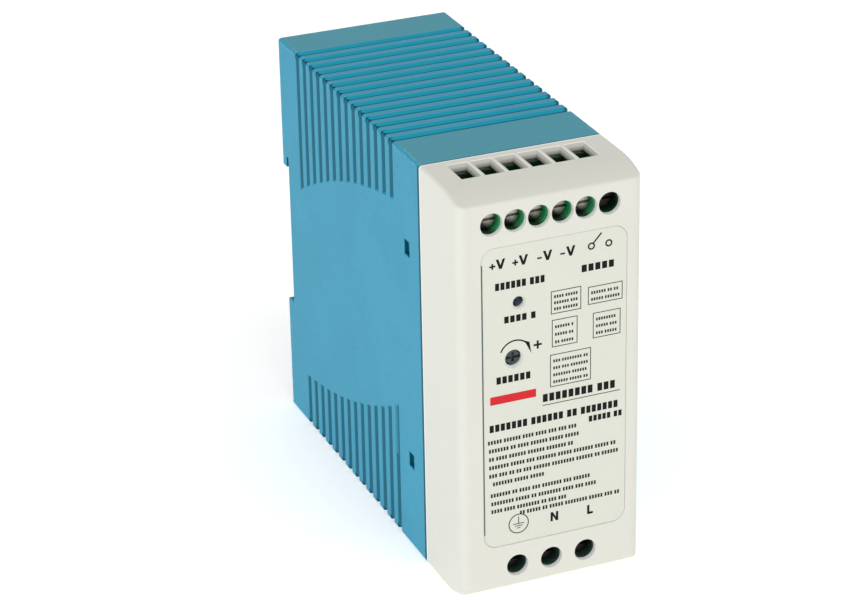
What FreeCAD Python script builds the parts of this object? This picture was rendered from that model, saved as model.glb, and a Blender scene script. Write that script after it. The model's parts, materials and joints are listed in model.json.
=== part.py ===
import FreeCAD, Part
import math
import os
import re
import Sketcher

# A slim power supply that snaps onto a 35 mm top-hat rail.
# X runs across the width, the front face looks along -Y and Z is up.
# The origin is the middle of the bottom, on the plane the unit stands on.

# Driving dimensions: name, millimetres or degrees, what it is.
SIZES = [
    ("unit_width", 40, "outer width"),
    ("unit_height", 90, "outer height"),
    ("unit_depth", 100, "outer depth, front face to rear face"),
    ("cover_depth", 19, "depth of the front cover"),
    ("wall", 2, "moulded wall"),
    ("cover_top_wall", 1.6, "top and bottom walls of the front cover"),
    ("cover_front_wall", 1.2, "front wall of the front cover"),
    ("edge_round", 0.7, "rounding of the long edges"),
    ("front_round", 2, "rounding of the upright front edges"),
    ("seam_gap", 0.3, "gap between housing and cover"),
    ("shoulder_run", 9, "depth of the curved shoulder"),
    ("shoulder_drop", 2.2, "fall of the curved shoulder"),
    ("rim_depth", 1.6, "thickened rim in front of the cover's rear edge"),
    ("lip_length", 3, "lip of the cover inside the housing"),
    ("lip_wall", 1.3, "thickness of the lip"),
    ("fit_gap", 0.2, "clearance round the lip"),
    ("snap_level", 24.3, "height of the snap recesses from mid-height"),
    ("snap_depth", 7.3, "snap recesses behind the seam"),
    ("snap_long", 3.4, "snap recess height"),
    ("snap_short", 2.8, "snap recess from front to back"),
    ("recess_sink", 0.8, "depth of the snap recess"),
    ("catch_height", 0.5, "height of the cover's hooks"),
    ("rail_gap", 35.6, "rail slot height for a 35 mm rail"),
    ("slot_depth", 3.4, "rail seat in from the rear face"),
    ("brim_gap", 1.2, "room for the rail's brim, 1 mm thick"),
    ("hook_reach", 2.5, "reach of the hook behind the brim"),
    ("latch_width", 16, "latch plate width"),
    ("latch_ear", 2, "ear on each side of the latch plate"),
    ("latch_play", 0.2, "clearance round the latch"),
    ("latch_foot", 0.6, "lower end of the latch above the base"),
    ("ear_thickness", 1.2, "thickness of the latch ears"),
    ("stop_level", 8, "lower face of the spring stop"),
    ("stop_height", 2.5, "height of the spring stop"),
    ("spring_room", 11.5, "free length of the latch spring"),
    ("spring_wire", 0.44, "latch spring wire"),
    ("spring_radius", 1.0, "latch spring mean radius"),
    ("spring_pitch", 1.57, "latch spring pitch"),
    ("groove_count", 14, "grooves round the housing"),
    ("groove_pitch", 4.16, "spacing of the grooves"),
    ("groove_first", 38.3, "rearmost groove from mid-depth"),
    ("groove_width", 2.45, "width of the grooves"),
    ("groove_depth", 1.1, "depth of the grooves at their front wall"),
    ("groove_lean", 0.12, "lean of the groove's front wall"),
    ("groove_over", 0.6, "groove tool beyond the surface"),
    ("groove_turn", 2.3, "turn of the groove tool at the housing's edges"),
    ("plain_radius", 165, "arc where the grooves end on the sides"),
    ("plain_half", 24.3, "half height of the plain area on the sides"),
    ("plain_tilt", 21.6, "tilt of the plain area"),
    ("plain_centre", 10.1, "centre of the plain area from mid-depth"),
    ("screw_line", 38.45, "terminal screws from mid-height"),
    ("screw_hole", 2.4, "radius of the screwdriver holes"),
    ("output_pitch", 5.08, "pitch of the output poles"),
    ("output_poles", 6, "number of output poles"),
    ("input_pitch", 7.62, "pitch of the input poles"),
    ("input_poles", 3, "number of input poles"),
    ("entry_depth", 7.8, "wire entry from front to back"),
    ("entry_front", 9.2, "wire entry's front edge behind the front face"),
    ("entry_rib", 0.8, "rib between wire entries"),
    ("entry_flare", 0.15, "bevel round the wire entry"),
    ("entry_slope", 0.5, "lean of the wire entry's rear wall"),
    ("entry_draft", 0.3, "lean of the wire entry's side walls"),
    ("label_left", -15.1, "left edge of the label recess"),
    ("label_right", 16.7, "right edge of the label recess"),
    ("label_half", 33.4, "half height of the label recess"),
    ("label_round", 3, "corner of the label recess"),
    ("label_sink", 0.35, "depth of the label recess"),
    ("label_sheet", 0.2, "thickness of the label"),
    ("led_x", -6.95, "status light across the front"),
    ("led_level", 20.75, "status light above mid-height"),
    ("led_hole", 1.2, "radius of the status light's hole"),
    ("trim_x", -8.1, "voltage trimmer across the front"),
    ("trim_level", 8.7, "voltage trimmer above mid-height"),
    ("trim_hole", 1.8, "radius of the trimmer's hole"),
    ("block_front", 1.4, "terminal block's face behind the front face"),
    ("block_depth", 14.6, "terminal block from front to back"),
    ("block_above", 2.85, "front of the terminal block beyond the screw line"),
    ("tower_front", 8.2, "raised rear part of the block behind the front face"),
    ("tower_above", 4.7, "raised rear part of the block beyond the screw line"),
    ("way_front", 9.3, "wire way in the block behind the front face"),
    ("way_depth", 6.1, "wire way from front to back"),
    ("block_below", 5.6, "terminal block inside the screw line"),
    ("pole_wall", 0.64, "half the wall between two clamps"),
    ("recess_radius", 2.15, "radius of the screw recess"),
    ("web_front", 4.7, "face under the screw head behind the front face"),
    ("web", 1, "thickness of the web under the screw head"),
    ("head_radius", 1.9, "terminal screw head"),
    ("head_height", 1.65, "height of the terminal screw head"),
    ("head_slot", 0.6, "width of the screwdriver slot"),
    ("shank_radius", 1.2, "terminal screw shank"),
    ("shank_length", 4.25, "terminal screw shank length"),
    ("clamp_half", 2.1, "half height of the wire clamp"),
    ("clamp_front", 7.9, "open clamp's front plate behind the front face"),
    ("clamp_length", 5.9, "wire clamp from front to back"),
    ("clamp_plate", 1, "threaded front plate of the clamp"),
    ("clamp_sheet", 0.6, "sheet of the other clamp walls"),
    ("clamp_room", 0.15, "clearance round the clamp"),
    ("bar_front", 9.3, "contact bar behind the front face"),
    ("bar_sheet", 0.8, "thickness of the contact bar"),
    ("bar_half", 1, "half width of the contact bar"),
    ("bar_foot", 3.7, "contact bar's foot inside the screw line"),
    ("board_sheet", 1.6, "circuit board thickness"),
    ("front_board_half", 16.2, "half width of the terminal board"),
    ("board_margin", 4.2, "boards from the top and bottom"),
    ("main_board_x", 14.4, "component face of the main board"),
    ("main_board_front", 19.6, "main board behind the front face"),
    ("main_board_rear", 8, "main board in front of the rear face"),
]

doc = FreeCAD.newDocument("rail_power_supply")
dims = doc.addObject("Spreadsheet::Sheet", "dims")
for row, (alias, size, note) in enumerate(SIZES, start=1):
    dims.set("A%d" % row, alias)
    dims.set("B%d" % row, str(size))
    dims.set("C%d" % row, note)
    dims.setAlias("B%d" % row, alias)
doc.recompute()

ALIASES = {alias for alias, size, note in SIZES}
FRONT = "-unit_depth / 2"
REAR = "unit_depth / 2"
SEAM = "-unit_depth / 2 + cover_depth"
MID = "unit_height / 2"
SEAT = "unit_depth / 2 - slot_depth"
BOARD_FACE = "main_board_x"
BOARD_REAR = "block_front + block_depth"
OVER = "1"

TURNS = {
    "x": FreeCAD.Rotation(FreeCAD.Vector(0, 1, 0), 90),
    "y": FreeCAD.Rotation(FreeCAD.Vector(1, 0, 0), -90),
    "z": FreeCAD.Rotation(),
}
nodes = []


# ---------- expressions ----------

def bound(text):
    """Expression text with every sheet alias written in full."""
    return re.sub(r"[a-z_]+", lambda word: "dims." + word[0] if word[0] in ALIASES else word[0], text)


def value(text):
    """Number that an expression gives now."""
    return float(dims.evalExpression(bound(text)))


def behind(text):
    """Depth measured back from the front face."""
    return FRONT + " + (" + text + ")"


def levels(side, low, high):
    """Height range measured from mid-height, upwards for side 1 and downwards for side -1."""
    if side > 0:
        return (MID + " + (" + low + ")", MID + " + (" + high + ")")
    return (MID + " - (" + high + ")", MID + " - (" + low + ")")


def about(centre, half):
    """Range of a given half width about a centre."""
    return ("(%s) - (%s)" % (centre, half), "(%s) + (%s)" % (centre, half))


# ---------- Part primitives and booleans ----------

def place(item, axis, text):
    item.setExpression("Placement.Base." + axis, bound(text))


def box(name, x, y, z):
    """Block between the two expressions given for each axis."""
    item = doc.addObject("Part::Box", name)
    for side, axis, (low, high) in zip(("Length", "Width", "Height"), "xyz", (x, y, z)):
        place(item, axis, low)
        item.setExpression(side, bound("(%s) - (%s)" % (high, low)))
    return item


def rod(name, axis, radius, centre, span):
    """Cylinder along an axis: centre gives its two other coordinates, span its two ends."""
    item = doc.addObject("Part::Cylinder", name)
    item.Placement = FreeCAD.Placement(FreeCAD.Vector(), TURNS[axis])
    item.setExpression("Radius", bound(radius))
    item.setExpression("Height", bound("(%s) - (%s)" % (span[1], span[0])))
    place(item, axis, span[0])
    for other, text in zip([each for each in "xyz" if each != axis], centre):
        place(item, other, text)
    return item


def ring(name, axis, big, small, centre):
    """Torus about an axis through a centre."""
    item = doc.addObject("Part::Torus", name)
    item.Placement = FreeCAD.Placement(FreeCAD.Vector(), TURNS[axis])
    item.setExpression("Radius1", bound(big))
    item.setExpression("Radius2", bound(small))
    for each, text in zip("xyz", centre):
        place(item, each, text)
    return item


def fuse(name, *parts):
    item = doc.addObject("Part::MultiFuse", name)
    item.Shapes = list(parts)
    item.Refine = True
    return item


def cut(name, base, *tools):
    item = doc.addObject("Part::Cut", name)
    item.Base = base
    item.Tool = tools[0] if len(tools) == 1 else fuse(name + "_tools", *tools)
    item.Refine = True
    return item


def group(name, parts):
    """Separate solids that share one node."""
    item = doc.addObject("Part::Compound", name)
    item.Links = list(parts)
    return item


def rounded(name, base, radius, *directions):
    """Part::Fillet on the base's straight edges along the given axes."""
    doc.recompute()
    item = doc.addObject("Part::Fillet", name)
    item.Base = base
    size = value(radius)
    item.Edges = [(number, size, size) for number, edge in enumerate(base.Shape.Edges, start=1)
                  if any(runs_along(edge, axis) for axis in directions)]
    return item


def node(name, item):
    """Give a finished sub-part the name of its file."""
    item.Label = name
    nodes.append(item)
    return item


# ---------- PartDesign ----------

def runs_along(edge, axis):
    """Whether a straight edge is parallel to an axis."""
    if edge.Curve.TypeId != "Part::GeomLine":
        return False
    return abs(abs(getattr(edge.Curve.Direction, axis)) - 1) < 1e-6


def sketch_on(body, role, offset="0"):
    """New sketch parallel to one of the body's origin planes."""
    sketch = body.newObject("Sketcher::SketchObject", body.Name + "_sketch")
    plane = next(item for item in body.Origin.OriginFeatures if item.Role == role)
    sketch.AttachmentSupport = [(plane, "")]
    sketch.MapMode = "FlatFace"
    sketch.setExpression("AttachmentOffset.Base.z", bound(offset))
    return sketch


def pin(sketch, kind, number, point, text):
    """Dimension from the sketch's origin, bound to the sheet."""
    index = sketch.addConstraint(Sketcher.Constraint(kind, -1, 1, number, point, value(text)))
    sketch.setExpression("Constraints[%d]" % index, bound(text))


def arc_between(start, finish, centre_u):
    """Arc whose centre has the given first coordinate, and whether it runs from start to finish."""
    offset = (finish.x - centre_u) ** 2 - (start.x - centre_u) ** 2
    centre_v = (offset + finish.y ** 2 - start.y ** 2) / (2 * (finish.y - start.y))
    centre = FreeCAD.Vector(centre_u, centre_v, 0)
    forward = (start - centre).cross(finish - centre).z > 0
    first, last = (start, finish) if forward else (finish, start)
    angles = [math.atan2(point.y - centre_v, point.x - centre_u) for point in (first, last)]
    circle = Part.Circle(centre, FreeCAD.Vector(0, 0, 1), (start - centre).Length)
    return Part.ArcOfCircle(circle, *angles), forward


def outline(sketch, points, arcs=()):
    """Closed outline bound to the sheet: arcs gives (edge number, first coordinate of its centre)."""
    arcs = dict(arcs)
    corners = [FreeCAD.Vector(value(u), value(v), 0) for u, v in points]
    edges = []
    for index, start in enumerate(corners):
        finish = corners[(index + 1) % len(corners)]
        if index in arcs:
            shape, forward = arc_between(start, finish, value(arcs[index]))
        else:
            shape, forward = Part.LineSegment(start, finish), True
        number = sketch.addGeometry(shape, False)
        edges.append((number, 1, 2) if forward else (number, 2, 1))
    for index, (u, v) in enumerate(points):
        number, first = edges[index][:2]
        before = edges[index - 1]
        sketch.addConstraint(Sketcher.Constraint("Coincident", before[0], before[2], number, first))
        pin(sketch, "DistanceX", number, first, u)
        pin(sketch, "DistanceY", number, first, v)
    for index, centre in arcs.items():
        pin(sketch, "DistanceX", edges[index][0], 3, centre)
    return sketch


def rectangle(sketch, u, v):
    """Outline between the low and high expressions of each direction."""
    return outline(sketch, [(u[0], v[0]), (u[1], v[0]), (u[1], v[1]), (u[0], v[1])])


def circle(sketch, radius, u, v):
    """Circle with its radius and centre bound to the sheet."""
    shape = Part.Circle(FreeCAD.Vector(value(u), value(v), 0), FreeCAD.Vector(0, 0, 1), value(radius))
    number = sketch.addGeometry(shape, False)
    pin(sketch, "DistanceX", number, 3, u)
    pin(sketch, "DistanceY", number, 3, v)
    index = sketch.addConstraint(Sketcher.Constraint("Radius", number, value(radius)))
    sketch.setExpression("Constraints[%d]" % index, bound(radius))
    return sketch


def volume(body):
    """Volume of a body, which is nothing before its first feature."""
    return 0 if body.Shape.isNull() else body.Shape.Volume


def extrude(kind, sketch, length, side="One side", flip=False):
    """Pad or Pocket of a sketch; the volume has to change."""
    body = sketch.getParentGeoFeatureGroup()
    before = volume(body)
    feature = body.newObject("PartDesign::" + kind, body.Name + "_" + kind.lower())
    feature.Profile = sketch
    feature.SideType = side
    feature.Reversed = flip
    feature.setExpression("Length", bound(length))
    doc.recompute()
    change = volume(body) - before
    if not (change > 0 if kind == "Pad" else change < 0):
        raise RuntimeError(feature.Name + " leaves the volume as it was")
    return feature


def soften(body, radius, chosen):
    """PartDesign fillet on the edges of the body that the test chooses."""
    base = body.Tip
    names = ["Edge%d" % number for number, edge in enumerate(base.Shape.Edges, start=1) if chosen(edge)]
    fillet = body.newObject("PartDesign::Fillet", body.Name + "_fillet")
    fillet.Base = (base, names)
    fillet.setExpression("Radius", bound(radius))
    doc.recompute()
    return fillet


# ---------- housing ----------

def housing_shell():
    """Open-fronted shell with the rail slot, latch channel and board guides."""
    body = doc.addObject("PartDesign::Body", "housing_shell")
    half = "unit_width / 2"
    mouth = SEAM + " + seam_gap"
    inner_rear = SEAT + " - wall"
    slot_low = MID + " - rail_gap / 2"
    slot_high = MID + " + rail_gap / 2"
    sketch = sketch_on(body, "XZ_Plane", "-unit_depth / 2")
    rectangle(sketch, ("-unit_width / 2", half), ("0", "unit_height"))
    extrude("Pad", sketch, "unit_depth - cover_depth - seam_gap")
    soften(body, "edge_round", lambda edge: runs_along(edge, "y"))

    sketch = sketch_on(body, "XZ_Plane", "-(%s)" % mouth)
    rectangle(sketch, ("wall - unit_width / 2", "unit_width / 2 - wall"), ("wall", "unit_height - wall"))
    extrude("Pocket", sketch, "(%s) - (%s)" % (inner_rear, mouth))

    channel_half = "latch_width / 2 + latch_ear + latch_play"
    sketch = sketch_on(body, "XZ_Plane", "-(%s)" % inner_rear)
    side = ("%s + wall" % channel_half, "unit_width / 2 - wall")
    rectangle(sketch, ("wall - unit_width / 2", "unit_width / 2 - wall"),
              (slot_high + " + wall", "unit_height - wall"))
    rectangle(sketch, side, ("wall", slot_low + " - wall"))
    rectangle(sketch, ("-(%s)" % side[1], "-(%s)" % side[0]), ("wall", slot_low + " - wall"))
    extrude("Pocket", sketch, "slot_depth")

    hook_face = SEAT + " + brim_gap"
    hook_end = slot_high + " - hook_reach"
    sketch = sketch_on(body, "YZ_Plane")
    outline(sketch, [(SEAT, slot_low), (REAR + " + " + OVER, slot_low), (REAR + " + " + OVER, hook_end),
                     (hook_face, hook_end), (hook_face, slot_high), (SEAT, slot_high)])
    extrude("Pocket", sketch, "unit_width + 2", side="Symmetric")

    latch_channel(body, channel_half, slot_low)

    board_guides(body)
    return body


def latch_channel(body, channel_half, slot_low):
    """T-shaped channel that the rail latch slides in, and the stop its spring bears on."""
    plate_half = "latch_width / 2 + latch_play"
    ear_face = SEAT + " + ear_thickness + 2 * latch_play"
    rear = REAR + " + " + OVER
    corners = [(channel_half, SEAT), (channel_half, ear_face), (plate_half, ear_face), (plate_half, rear)]
    mirrored = [("-(%s)" % u, v) for u, v in reversed(corners)]
    extrude("Pocket", outline(sketch_on(body, "XY_Plane"), corners + mirrored), slot_low, flip=True)

    sketch = sketch_on(body, "XZ_Plane", "-(%s)" % SEAT)
    rectangle(sketch, ("-1.4", "1.4"), ("stop_level", "stop_level + stop_height"))
    extrude("Pad", sketch, "slot_depth - 0.6", flip=True)


def board_guides(body):
    """Ribs above and below that hold the edges of the main board."""
    sketch = sketch_on(body, "XZ_Plane", "-(%s - wall)" % SEAT)
    lower = ("wall", "board_margin + 0.6")
    upper = ("unit_height - board_margin - 0.6", "unit_height - wall")
    for height in (lower, upper):
        rectangle(sketch, ("main_board_x - 0.85", "main_board_x - 0.05"), height)
        rectangle(sketch, ("main_board_x + board_sheet + 0.05", "main_board_x + board_sheet + 0.85"), height)
    extrude("Pad", sketch, "60")


def groove_tools():
    """Grooves swept round the housing, cut back to the plain area on each side."""
    over = value("groove_over")
    left = -value("unit_width / 2") - over
    low = -over
    high = value("unit_height") + over
    path = rounded_frame(left, -left, low, high, value("groove_turn"))
    front = -value("groove_width / 2")
    bottom = left + over + value("groove_depth")
    profile = Part.makePolygon([FreeCAD.Vector(x, y, (low + high) / 2) for x, y in (
        (left, front), (left + over, front), (bottom, front + value("groove_lean")),
        (left + over, -front), (left, -front), (left, front))])
    tool = path.makePipeShell([profile], True, False)
    rings = doc.addObject("Part::Feature", "groove_rings")
    first = value("groove_first")
    spacing = value("groove_pitch")
    rings.Shape = Part.makeCompound([
        tool.translated(FreeCAD.Vector(0, first - index * spacing, 0))
        for index in range(int(value("groove_count")))])
    return cut("groove_tools", rings, plain_area(-1), plain_area(1))


def rounded_frame(left, right, low, high, turn):
    """Upright rectangle with round corners, started halfway up its left side."""
    wire = []
    middle = (low + high) / 2
    corners = [(left, low, 1, 1, 180), (right, low, -1, 1, 270),
               (right, high, -1, -1, 0), (left, high, 1, -1, 90)]
    last = FreeCAD.Vector(left, 0, middle)
    for x, z, step_x, step_z, angle in corners:
        centre = FreeCAD.Vector(x + step_x * turn, 0, z + step_z * turn)
        points = [centre + FreeCAD.Vector(turn * math.cos(math.radians(angle + part)), 0,
                                          turn * math.sin(math.radians(angle + part)))
                  for part in (0, 45, 90)]
        wire.append(Part.makeLine(last, points[0]))
        wire.append(Part.Arc(*points).toShape())
        last = points[2]
    wire.append(Part.makeLine(last, FreeCAD.Vector(left, 0, middle)))
    return Part.Wire(wire)


def plain_area(side):
    """Lens between two large cones on one side, wider inwards so that the grooves run out in a ramp."""
    depth = "4"
    cones = []
    for way in (1, -1):
        cone = doc.addObject("Part::Cone", "plain_cone")
        turn = 90 if side < 0 else -90
        cone.Placement = FreeCAD.Placement(FreeCAD.Vector(), FreeCAD.Rotation(FreeCAD.Vector(0, 1, 0), turn))
        cone.setExpression("Radius1", bound("plain_radius - " + OVER))
        cone.setExpression("Radius2", bound("plain_radius + %s - %s" % (depth, OVER)))
        cone.setExpression("Height", bound(depth))
        place(cone, "x", "%d * (unit_width / 2 + %s)" % (side, OVER))
        reach = "(plain_radius - plain_half)"
        place(cone, "y", "plain_centre - %d * %s * sin(plain_tilt)" % (way, reach))
        place(cone, "z", MID + " - %d * %s * cos(plain_tilt)" % (way, reach))
        cones.append(cone)
    lens = doc.addObject("Part::MultiCommon", "plain_area")
    lens.Shapes = cones
    return lens


def snap_recesses():
    """Two shallow recesses on each side, and behind each a pocket for the cover's hook."""
    half = "unit_width / 2"
    outside = (half + " - recess_sink", half + " + " + OVER)
    inside = (half + " - wall - " + OVER, half + " - wall + catch_height + fit_gap")
    depth = about(SEAM + " + snap_depth", "snap_short / 2")
    tools = []
    for level in (1, -1):
        height = levels(level, "snap_level - snap_long / 2", "snap_level + snap_long / 2")
        for low, high in (outside, inside):
            tools.append(box("snap_recess", (low, high), depth, height))
            tools.append(box("snap_recess", ("-(%s)" % high, "-(%s)" % low), depth, height))
    return tools


def rear_housing():
    return node("rear_housing", cut("rear_housing", housing_shell(), groove_tools(), *snap_recesses()))


# ---------- rail latch ----------

def rail_latch():
    """Sliding latch: plate with ears, lip behind the rail's lower brim, spring window and pull slot."""
    body = doc.addObject("PartDesign::Body", "rail_latch")
    slot_low = MID + " - rail_gap / 2"
    front = SEAT + " + latch_play"
    rear = REAR + " - latch_play"
    lip_face = SEAT + " + brim_gap"
    lip_top = slot_low + " + hook_reach"
    sketch = sketch_on(body, "YZ_Plane")
    outline(sketch, [(front, "latch_foot"), (rear, "latch_foot"), (rear, lip_top + " - 1.5"),
                     (lip_face + " + 0.6", lip_top), (lip_face, lip_top),
                     (lip_face, slot_low + " - 0.1"), (front, slot_low + " - 0.1")])
    extrude("Pad", sketch, "latch_width", side="Symmetric")

    ear = "latch_width / 2 + latch_ear"
    sketch = rectangle(sketch_on(body, "XZ_Plane", "-(%s)" % front), ("-(%s)" % ear, ear),
                       ("latch_foot + 2.4", slot_low + " - 0.7"))
    extrude("Pad", sketch, "ear_thickness", flip=True)

    sketch = sketch_on(body, "XZ_Plane", "-(%s)" % front)
    rectangle(sketch, ("-1.9", "1.9"), ("stop_level - 0.1", "stop_level + stop_height + spring_room"))
    rectangle(sketch, ("-3", "3"), ("latch_foot + 1.4", "latch_foot + 4.2"))
    extrude("Pocket", sketch, "slot_depth")

    sketch = sketch_on(body, "YZ_Plane")
    for index in range(3):
        low = "latch_foot + %s" % (4.9 + 0.8 * index)
        rectangle(sketch, (rear + " - 0.3", rear + " + " + OVER), (low, low + " + 0.4"))
    extrude("Pocket", sketch, "latch_width + 2", side="Symmetric")
    return node("rail_latch", body)


def latch_spring():
    """Compression spring between the housing's stop and the top of the latch window."""
    wire_radius = value("spring_wire / 2")
    radius = value("spring_radius")
    margin = 0.05 + wire_radius
    height = value("spring_room") - 2 * margin
    helix = Part.makeHelix(value("spring_pitch"), height, radius)
    profile = Part.Wire(Part.makeCircle(wire_radius, FreeCAD.Vector(radius, 0, 0), FreeCAD.Vector(0, 1, 0)))
    item = doc.addObject("Part::Feature", "latch_spring")
    item.Shape = Part.Wire(helix).makePipeShell([profile], True, True)
    centre = value("(%s + %s) / 2" % (SEAT, REAR))
    low = value("stop_level + stop_height") + margin
    item.Placement = FreeCAD.Placement(FreeCAD.Vector(0, centre, low), FreeCAD.Rotation())
    return node("latch_spring", item)


# ---------- front cover ----------

def front_cover():
    """Cover with curved shoulders, wire entries, screwdriver holes, label recess and snap tongues."""
    body = doc.addObject("PartDesign::Body", "front_cover_shell")
    shoulder = behind("shoulder_run")
    low = "shoulder_drop"
    high = "unit_height - shoulder_drop"
    sketch = sketch_on(body, "YZ_Plane")
    outline(sketch, [(SEAM, "0"), (SEAM, "unit_height"), (shoulder, "unit_height"), (FRONT, high),
                     (FRONT, low), (shoulder, "0")], {2: shoulder, 4: shoulder})
    extrude("Pad", sketch, "unit_width", side="Symmetric")
    round_cover(body)

    inner_front = behind("cover_front_wall")
    rim_front = SEAM + " - rim_depth"
    nose = "cover_top_wall + 1.3"
    sketch = sketch_on(body, "YZ_Plane")
    high = "unit_height - cover_top_wall"
    bend = behind("7")
    outline(sketch, [(rim_front, "cover_top_wall"), (rim_front, high), (bend, high),
                     (inner_front, "unit_height - (%s)" % nose), (inner_front, nose), (bend, "cover_top_wall")])
    extrude("Pocket", sketch, "unit_width - 2 * wall", side="Symmetric")

    outer = ("wall + fit_gap - unit_width / 2", "unit_width / 2 - wall - fit_gap")
    heights = ("wall + fit_gap", "unit_height - wall - fit_gap")
    sketch = rectangle(sketch_on(body, "XZ_Plane", "-(%s)" % SEAM), outer, heights)
    extrude("Pad", sketch, "lip_length", flip=True)
    snap_tongues(body)
    sketch = rectangle(sketch_on(body, "XZ_Plane", "-(%s)" % rim_front),
                       (outer[0] + " + lip_wall", outer[1] + " - lip_wall"),
                       (heights[0] + " + lip_wall", heights[1] + " - lip_wall"))
    extrude("Pocket", sketch, "rim_depth + 12")

    front_holes(body)
    label_recess(body)
    tools = wire_entries("output", 1) + wire_entries("input", -1)
    return node("front_cover", cut("front_cover", body, *tools))


def round_cover(body):
    """Round the upright front edges, then the border of the top and of the bottom."""
    front = value(FRONT)
    seam = value(SEAM)

    def upright_front(edge):
        return runs_along(edge, "z") and abs(edge.BoundBox.YMin - front) < 1e-6

    def border(edge):
        return edge.BoundBox.YMin < seam - 1e-6 and edge.BoundBox.ZLength < 5

    soften(body, "front_round", upright_front)
    soften(body, "edge_round", border)


def snap_tongues(body):
    """Two tongues on each side whose hooks catch in the housing's pockets."""
    tongue_end = "snap_depth + snap_short / 2 + 0.3"
    sketch = sketch_on(body, "XZ_Plane", "-(%s + lip_length)" % SEAM)
    outer = "unit_width / 2 - wall - fit_gap"
    for level in (1, -1):
        height = levels(level, "snap_level - 3.5", "snap_level + 3.5")
        rectangle(sketch, ("%s - lip_wall" % outer, outer), height)
        rectangle(sketch, ("-(%s)" % outer, "-(%s - lip_wall)" % outer), height)
    extrude("Pad", sketch, tongue_end + " - lip_length", flip=True)

    catch = SEAM + " + snap_depth - snap_short / 2 + 0.2"
    for level in (1, -1):
        low, high = levels(level, "snap_level - 1.4", "snap_level + 1.4")
        sketch = sketch_on(body, "XY_Plane", low)
        for side in ("", "-"):
            root = side + "(%s - 0.1)" % outer
            peak = side + "(%s + fit_gap + catch_height)" % outer
            outline(sketch, [(root, catch), (peak, catch),
                             (peak, catch + " + 0.4"), (root, catch + " + 2.3")])
        extrude("Pad", sketch, "(%s) - (%s)" % (high, low))


def front_holes(body):
    """Screwdriver holes, status light hole and trimmer hole through the front wall."""
    sketch = sketch_on(body, "XZ_Plane", "-(%s)" % FRONT)
    for name, side in (("output", 1), ("input", -1)):
        for place_x in pole_centres(name):
            circle(sketch, "screw_hole", place_x, levels(side, "screw_line", "screw_line")[0])
    circle(sketch, "led_hole", "led_x", MID + " + led_level")
    circle(sketch, "trim_hole", "trim_x", MID + " + trim_level")
    extrude("Pocket", sketch, "cover_front_wall + 0.5")


def label_recess(body):
    """Shallow recess with round corners that the label lies in."""
    sketch = sketch_on(body, "XZ_Plane", "-(%s)" % FRONT)
    rectangle(sketch, ("label_left", "label_right"), about(MID, "label_half"))
    extrude("Pocket", sketch, "label_sink")
    floor = value(FRONT + " + label_sink")

    def corner(edge):
        box = edge.BoundBox
        return runs_along(edge, "y") and abs(box.YMax - floor) < 1e-6 and box.YLength < 1

    soften(body, "label_round", corner)


def pole_centres(name):
    """X of each pole of a terminal block, left to right."""
    count = int(value(name + "_poles"))
    return ["%s_pitch * (%d - (%s_poles - 1) / 2)" % (name, index, name) for index in range(count)]


def wire_entries(name, side):
    """Tapered, bevelled openings through the cover's top or bottom, one to a pole."""
    wide = value(name + "_pitch - entry_rib")
    flare = value("entry_flare")
    slope = value("entry_slope")
    draft = value("entry_draft")
    thick = value("cover_top_wall")
    face = value("unit_height") if side > 0 else 0
    tools = []
    for text in pole_centres(name):
        centre = value(text)
        levels_down = ((-1.5, -flare, 0), (0, -flare, 0), (flare, 0, 0), (thick, draft, slope),
                       (thick + 1.5, draft, slope))
        rims = [section(centre, wide, inset, lean, face - side * down) for down, inset, lean in levels_down]
        item = doc.addObject("Part::Feature", name + "_entry")
        steps = [loft(one, two) for one, two in zip(rims, rims[1:])]
        item.Shape = steps[0].multiFuse(steps[1:]).removeSplitter()
        tools.append(item)
    return tools


def section(centre, wide, inset, lean, height):
    """Rectangle of a wire entry at one height, drawn in all round and further at the rear."""
    left = centre - wide / 2 + inset
    right = centre + wide / 2 - inset
    near = value(behind("entry_front")) + inset
    far = value(behind("entry_front + entry_depth")) - max(inset, lean)
    if inset < 0:
        far = value(behind("entry_front + entry_depth")) - inset
    points = [(left, near), (right, near), (right, far), (left, far), (left, near)]
    return Part.makePolygon([FreeCAD.Vector(x, y, height) for x, y in points])


def loft(one, two):
    return Part.makeLoft([one, two], True, True)


def rating_label():
    """Thin printed sheet in the recess, with holes for the light and the trimmer."""
    gap = "0.15"
    back = FRONT + " + label_sink"
    sheet = rounded("label_sheet_blank",
                    box("label_blank", ("label_left + " + gap, "label_right - " + gap),
                        (back + " - label_sheet", back), about(MID, "label_half - " + gap)),
                    "label_round - " + gap, "y")
    span = (back + " - 1", back + " + 1")
    light = rod("label_light", "y", "led_hole + 0.3", ("led_x", MID + " + led_level"), span)
    trim = rod("label_trim", "y", "trim_hole + 0.3", ("trim_x", MID + " + trim_level"), span)
    return node("rating_label", cut("rating_label", sheet, light, trim))


# ---------- terminal blocks ----------

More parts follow.
